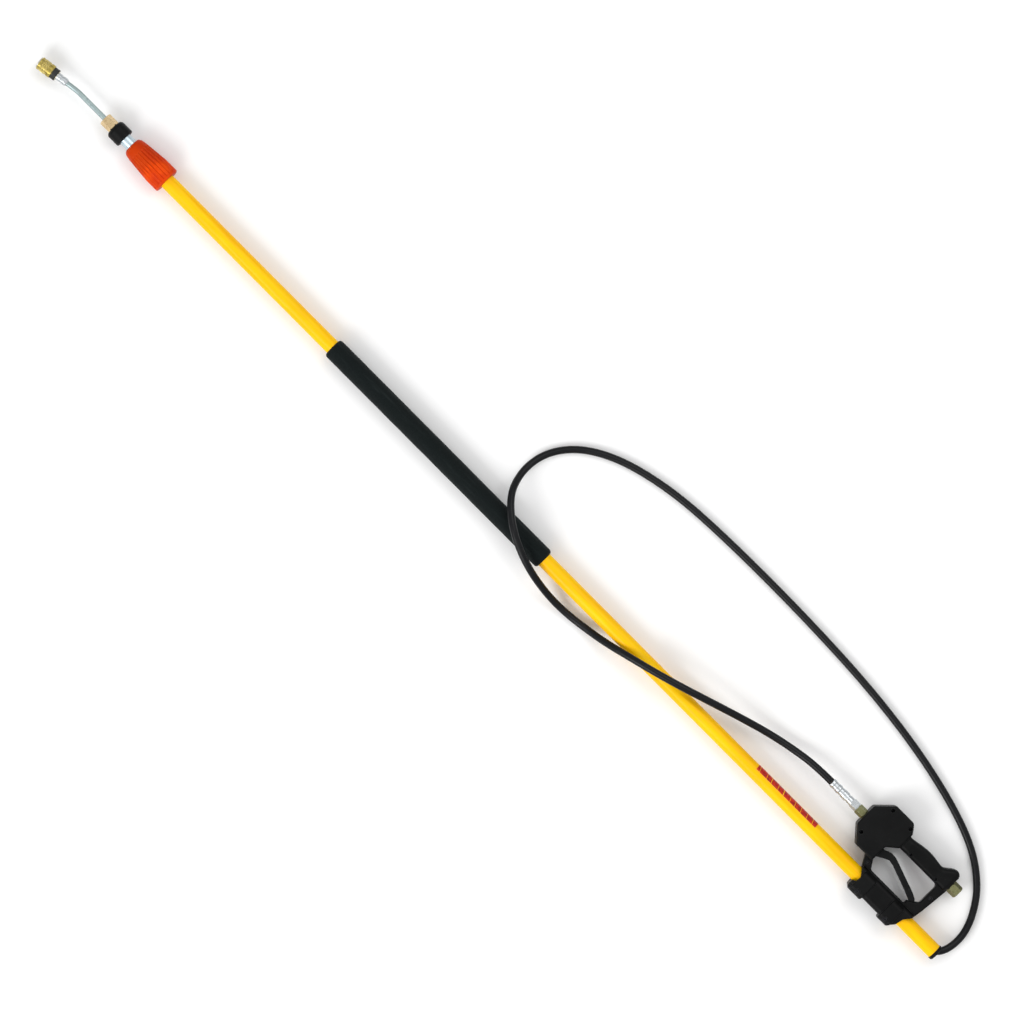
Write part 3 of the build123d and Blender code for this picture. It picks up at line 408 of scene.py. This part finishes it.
def collar_material():
    """Orange-red moulded plastic: painted shade in the flutes, rubbed edges, fine grain."""
    g = Graph("orange_plastic")
    grain = g.noise(1700, detail=3, roughness=0.6)
    clouds = g.noise(40, detail=4, roughness=0.55)
    worn = g.product(g.edge(0.9 * MM), g.remap(g.noise(260, detail=4), 0.38, 0.6))
    _, y, z = g.axes()
    out_y = g.math("POWER", g.math("SUBTRACT", y, AXIS_Y), 2.0)
    out_z = g.math("POWER", g.math("SUBTRACT", z, AXIS_Z), 2.0)
    radius = g.math("SQRT", g.math("ADD", out_y, out_z))
    base = g.blend(g.remap(clouds, 0.3, 0.7), COLLAR_DARK, COLLAR_LIGHT)
    # painted shade: darker red deep in the flutes, patchy with the clouds
    flute_shade = g.remap(radius, FLUTE_FLOOR, FLUTE_TOP, to_low=0.35, to_high=0.0)
    base = g.blend(g.product(flute_shade, g.remap(clouds, 0.2, 0.6)), base, COLLAR_FLUTE_SHADE)
    base = g.blend(g.product(worn, 0.4), base, COLLAR_WORN)
    g.feed("Base Color", base)
    g.feed("Roughness", g.remap(grain, 0.3, 0.7, to_low=0.36, to_high=0.5))
    g.value(Specular_IOR_Level=0.08)
    g.bump([(grain, 0.25, 0.1 * MM)], rounding=0.6 * MM)
    return g.material


TOOL_LINES = {"turned": (2600, 90, 90), "drawn": (30, 2400, 2400)}  # across the X axis, or along it


def metal(name, dark, light, rough, finish, edges=None, stain=None):
    """Turned or drawn metal: fine tool lines, stained patches, and a painted edge colour: a painted
    highlight where it is lighter, painted shade where it is darker.
    """
    g = Graph(name)
    lines = g.noise(1.0, detail=4, roughness=0.6, place=g.stretched(*TOOL_LINES[finish]))
    tarnish = g.noise(210, detail=5, roughness=0.6)
    base = g.blend(g.remap(lines, 0.3, 0.7), dark, light)
    if stain:
        base = g.blend(g.remap(tarnish, 0.5, 0.72, to_low=0.0, to_high=0.6), base, stain)
    # painted light along every edge: a lighter edge colour is a painted highlight, a darker one painted
    # shade
    if edges:
        base = g.blend(g.edge(0.6 * MM), base, edges)
    g.feed("Base Color", base)
    g.value(Metallic=1.0)
    g.feed("Roughness", g.remap(tarnish, 0.3, 0.7, to_low=rough - 0.05, to_high=rough + 0.12))
    g.bump([(lines, 0.08, 0.02 * MM)], rounding=0.4 * MM)
    return g.material


def plain_moulded(name, dark, light, rough):
    """Small moulded or rubber pieces: clouded colour, fine grain and softened edges."""
    g = Graph(name)
    grain = g.noise(1900, detail=3, roughness=0.6)
    clouds = g.noise(120, detail=4, roughness=0.6)
    g.feed("Base Color", g.blend(g.remap(clouds, 0.3, 0.7), dark, light))
    g.feed("Roughness", g.remap(grain, 0.3, 0.7, to_low=rough - 0.06, to_high=rough + 0.06))
    g.bump([(grain, 0.3, 0.1 * MM)], rounding=0.3 * MM)
    return g.material


LABEL_BAR = 13 * MM  # from one bar's start to the next
LABEL_SLANT = 0.35  # how far the bars lean for each step across the label
LABEL_MARGIN = 1.2 * MM  # the print fades in over this much at the label's ends
LABEL_INNER = 1.2 * MM  # bare yellow along the label's inner edge
LABEL_GAP = 0.04, 0.09  # where a gap ends and its bar is full, as shares of a bar's step
LABEL_BARE = (0.92, 0.44, 0.005)
LABEL_WORN = (0.26, 0.006, 0.012)
LABEL_RED = (0.62, 0.03, 0.008)


def label_material():
    """Thin label on the pole's yellow: a worn red band of plain slanted bars, uneven in length."""
    g = Graph("label")
    x, y, _ = g.axes()
    low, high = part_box("label_strip")
    slant = g.math("ADD", x, g.product(y, LABEL_SLANT))
    slanted = g.make("ShaderNodeCombineXYZ", {"X": slant}).outputs["Vector"]
    uneven = g.noise(45, detail=2, roughness=0.5, place=slanted)
    cell = g.math("FRACT", g.math("ADD", g.math("DIVIDE", slant, LABEL_BAR), uneven))
    printed = g.product(
        g.remap(cell, *LABEL_GAP),
        g.remap(x, low.x, low.x + LABEL_MARGIN),
        g.remap(x, high.x, high.x - LABEL_MARGIN),
        g.remap(y, low.y + LABEL_INNER / 2, low.y + LABEL_INNER),
    )
    ink = g.remap(g.noise(1.0, detail=4, roughness=0.6, place=g.stretched(120, 300, 300)), 0.35, 0.62)
    rubs = g.noise(1.0, detail=5, roughness=0.7, place=g.stretched(300, 900, 900))
    faded = g.remap(rubs, 0.55, 0.72, to_low=1.0, to_high=0.72)
    red = g.blend(ink, LABEL_WORN, LABEL_RED)
    g.feed("Base Color", g.blend(g.product(printed, faded), LABEL_BARE, red))
    g.value(Roughness=0.34, Specular_IOR_Level=0.15, Coat_Weight=0.1, Coat_Roughness=0.1)
    g.bump([(printed, 0.2, 0.04 * MM), (ink, 0.1, 0.06 * MM)])
    return g.material


# the colours and roughness of the small moulded and rubber pieces
SMALL_PIECES = {
    "grey_nylon": {"dark": (0.36, 0.36, 0.33), "light": (0.5, 0.5, 0.46), "rough": 0.45},
    "seal_rubber": {"dark": (0.004, 0.005, 0.004), "light": (0.010, 0.012, 0.009), "rough": 0.6},
    "red_plastic": {"dark": (0.34, 0.008, 0.006), "light": (0.46, 0.014, 0.01), "rough": 0.38},
}
# each metal's colours, roughness and finish; the edge colour is painted light: a painted highlight on
# most, painted shade on the dull brass
METALS = {
    "anodised_aluminium": {
        "dark": (0.46, 0.57, 0.63),
        "light": (0.64, 0.75, 0.81),
        "rough": 0.34,
        "finish": "drawn",
        "edges": (0.80, 0.87, 0.90),
    },
    "stainless": {
        "dark": (0.26, 0.34, 0.34),
        "light": (0.42, 0.50, 0.50),
        "rough": 0.3,
        "finish": "drawn",
        "edges": (0.62, 0.68, 0.68),
    },
    "zinc_steel": {
        "dark": (0.46, 0.49, 0.51),
        "light": (0.64, 0.67, 0.69),
        "rough": 0.3,
        "finish": "turned",
        "edges": (0.84, 0.86, 0.87),
        "stain": (0.33, 0.35, 0.35),
    },
    "blackened_steel": {
        "dark": (0.014, 0.014, 0.016),
        "light": (0.032, 0.032, 0.035),
        "rough": 0.42,
        "finish": "turned",
        "edges": (0.12, 0.12, 0.12),
    },
    "spring_steel": {
        "dark": (0.42, 0.43, 0.44),
        "light": (0.62, 0.63, 0.64),
        "rough": 0.3,
        "finish": "turned",
    },
    "brass": {
        "dark": (0.36, 0.27, 0.055),
        "light": (0.56, 0.44, 0.12),
        "rough": 0.28,
        "finish": "turned",
        "edges": (0.82, 0.70, 0.32),
        "stain": (0.13, 0.10, 0.03),
    },
    "dull_brass": {
        "dark": (0.56, 0.40, 0.20),
        "light": (0.84, 0.66, 0.40),
        "rough": 0.26,
        "finish": "turned",
        # darker edges: painted shade
        "edges": (0.40, 0.28, 0.15),
        "stain": (0.34, 0.24, 0.12),
    },
    "olive_brass": {
        "dark": (0.15, 0.15, 0.065),
        "light": (0.29, 0.29, 0.15),
        "rough": 0.34,
        "finish": "turned",
        "edges": (0.52, 0.52, 0.33),
        "stain": (0.07, 0.065, 0.03),
    },
}


def make_materials():
    """The materials by name: one for each of the record's slots, and the gun housing's own."""
    materials = {
        "yellow_fibreglass": yellow_tube(),
        "black_plastic": moulded_black("black_plastic", shade=1.0),
        "gun_plastic": moulded_black("gun_plastic", shade=0.9, grip=True),
        "trigger_plastic": moulded_black("trigger_plastic", shade=1.6),
        "foam": foam_material(),
        "label": label_material(),
        "orange_plastic": collar_material(),
        "hose_rubber": hose_material(),
    }
    for name, recipe in SMALL_PIECES.items():
        materials[name] = plain_moulded(name, **recipe)
    for name, recipe in METALS.items():
        materials[name] = metal(name, **recipe)
    return materials


MATERIALS = make_materials()
# nodes that don't take the look of their slot in the record
OWN_LOOK = {
    "gun_housing_left": "gun_plastic",
    "gun_housing_right": "gun_plastic",
    "trigger_pivot": "blackened_steel",
    "latch_pin": "blackened_steel",
}


def dress_nodes():
    """Give each CAD node its slot's material, or its own variant."""
    for entry in frame["record"]["subparts"]:
        node = NODES[entry["node"]]
        look = OWN_LOOK.get(entry["node"], entry["material_slot"])
        node.data.materials.clear()
        node.data.materials.append(MATERIALS[look])


dress_nodes()
HOSE.data.materials.append(MATERIALS["hose_rubber"])


# ---------------------------------------------------------------- foam grip
FOAM_STEP = 3 * MM
FOAM_SIDES = 72
FOAM_ROUNDING = 5.5 * MM
FOAM_LIP_STEPS = 7
FOAM_BORE = TUBE_RADIUS + 0.05 * MM
FOAM_UNEVEN = 0.35 * MM  # about how far the skin sinks at its deepest
DENTS_ALONG = 30  # noise steps for each metre along the sleeve
DENT_COARSE, DENT_FINE = 1.6, 6.0
DENT_FINE_SHARE = 0.4


def foam_radius(distance_in, radius):
    """The sleeve's radius a given way in from its nearer end: a rounded lip, then straight."""
    if distance_in >= FOAM_ROUNDING:
        return radius
    drop = FOAM_ROUNDING - distance_in
    return radius - FOAM_ROUNDING + math.sqrt(FOAM_ROUNDING**2 - drop**2)


def foam_dent(place, angle):
    """How dented the skin is at a spot, as a share: slow waves with finer ones on them."""
    spot = Vector((place * DENTS_ALONG, math.cos(angle), math.sin(angle)))
    waves = noise.noise(spot * DENT_COARSE) + DENT_FINE_SHARE * noise.noise(spot * DENT_FINE)
    return 0.5 + 0.5 * waves


def foam_ring(mesh, start, place, radius):
    """One ring of points around the pole; a ring on the bore stays exactly round."""
    ring = []
    for side in range(FOAM_SIDES):
        angle = 2 * math.pi * side / FOAM_SIDES
        skin = radius
        if radius > FOAM_BORE:
            skin = max(FOAM_BORE, radius - FOAM_UNEVEN * foam_dent(place, angle))
        y = AXIS_Y + skin * math.cos(angle)
        z = AXIS_Z + skin * math.sin(angle)
        ring.append(mesh.verts.new((start + place, y, z)))
    return ring


def foam_stations(length):
    """Places along the sleeve, as distances from its start: close together on the lips, even between."""
    turns = [math.pi / 2 * step / FOAM_LIP_STEPS for step in range(FOAM_LIP_STEPS + 1)]
    lip = [FOAM_ROUNDING * (1 - math.cos(turn)) for turn in turns]
    straight = length - 2 * FOAM_ROUNDING
    count = int(straight / FOAM_STEP)
    middle = [FOAM_ROUNDING + straight * step / count for step in range(1, count)]
    return lip + middle + [length - place for place in reversed(lip)]


def make_foam():
    """The grip as a soft sleeve with rounded lips and a slightly uneven skin."""
    low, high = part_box("foam_grip")
    radius = (high.y - low.y) / 2
    length = high.x - low.x
    profile = [(0.0, FOAM_BORE)]
    for place in foam_stations(length):
        profile.append((place, foam_radius(min(place, length - place), radius)))
    profile.append((length, FOAM_BORE))
    mesh = bmesh.new()
    rings = [foam_ring(mesh, low.x, place, ring_radius) for place, ring_radius in profile]
    for first, second in zip(rings, rings[1:] + rings[:1]):
        for side in range(FOAM_SIDES):
            after = (side + 1) % FOAM_SIDES
            mesh.faces.new((first[side], first[after], second[after], second[side]))
    bmesh.ops.recalc_face_normals(mesh, faces=mesh.faces)
    data = bpy.data.meshes.new("foam_sleeve")
    mesh.to_mesh(data)
    mesh.free()
    data.shade_smooth()
    data.materials.append(MATERIALS["foam"])
    foam = link(bpy.data.objects.new("foam_sleeve", data))
    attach(foam, "pole")
    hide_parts("foam_grip")


make_foam()


# ---------------------------------------------------------------- floor, light
FLOOR_SIZE = 30  # metres, far past the picture's edges
FLOOR_CELLS = 24
FLOOR_DARK = (0.90, 0.90, 0.90)
FLOOR_LIGHT = (0.92, 0.92, 0.92)


def make_floor():
    """A large pale sheet under the wand."""
    mesh = bmesh.new()
    bmesh.ops.create_grid(mesh, x_segments=FLOOR_CELLS, y_segments=FLOOR_CELLS, size=FLOOR_SIZE)
    data = bpy.data.meshes.new("floor")
    mesh.to_mesh(data)
    mesh.free()
    g = Graph("floor")
    paper = g.noise(3, detail=4, roughness=0.5)
    g.feed("Base Color", g.blend(paper, FLOOR_DARK, FLOOR_LIGHT))
    g.value(Roughness=0.9, Specular_IOR_Level=0.1)
    data.materials.append(g.material)
    floor = link(bpy.data.objects.new("floor", data))


# Each light's place in the pole's frame, its size in metres and its power in watts. The key light
# stands on the side away from the gun; a weaker fill stands opposite.
LIGHTS = {
    "key": ((-1000, -2600, 2200), 1.8, 72),
    "fill": ((-1000, 2400, 3200), 2.5, 42),
}
LIGHT_TARGET = at(-1000, 30, 0)


def area_light(name, place, size, power):
    """A soft square light aimed at the wand's middle."""
    data = bpy.data.lights.new(name, "AREA")
    data.size = size
    data.energy = power
    light = link(bpy.data.objects.new(name, data))
    light.location = at(*place)
    aim = LIGHT_TARGET - light.location
    light.rotation_mode = "QUATERNION"
    light.rotation_quaternion = aim.to_track_quat("-Z", "Y")


SKY_STRENGTH = 0.85
HORIZON_SHADE = 0.34  # the horizon's brightness, as a share of the sky's
SKY_FULL = 0.75  # sine of the height above the horizon at which the sky reaches its full brightness


def make_world():
    """Bright sky overhead with a darker horizon, so that metal shows its roundness."""
    world = bpy.data.worlds.new("studio")
    world.use_nodes = True
    tree = world.node_tree
    back = tree.nodes["Background"]
    place = tree.nodes.new("ShaderNodeTexCoord")
    height = tree.nodes.new("ShaderNodeSeparateXYZ")
    ramp = tree.nodes.new("ShaderNodeMapRange")
    tree.links.new(place.outputs["Generated"], height.inputs[0])
    tree.links.new(height.outputs["Z"], ramp.inputs["Value"])
    ramp.inputs["From Max"].default_value = SKY_FULL
    ramp.inputs["To Min"].default_value = HORIZON_SHADE
    tree.links.new(ramp.outputs["Result"], back.inputs["Color"])
    back.inputs["Strength"].default_value = SKY_STRENGTH
    bpy.context.scene.world = world


make_floor()
make_world()
for light_name, (light_place, light_size, light_power) in LIGHTS.items():
    area_light(light_name, light_place, light_size, light_power)
bpy.context.scene.view_settings.view_transform = "Standard"
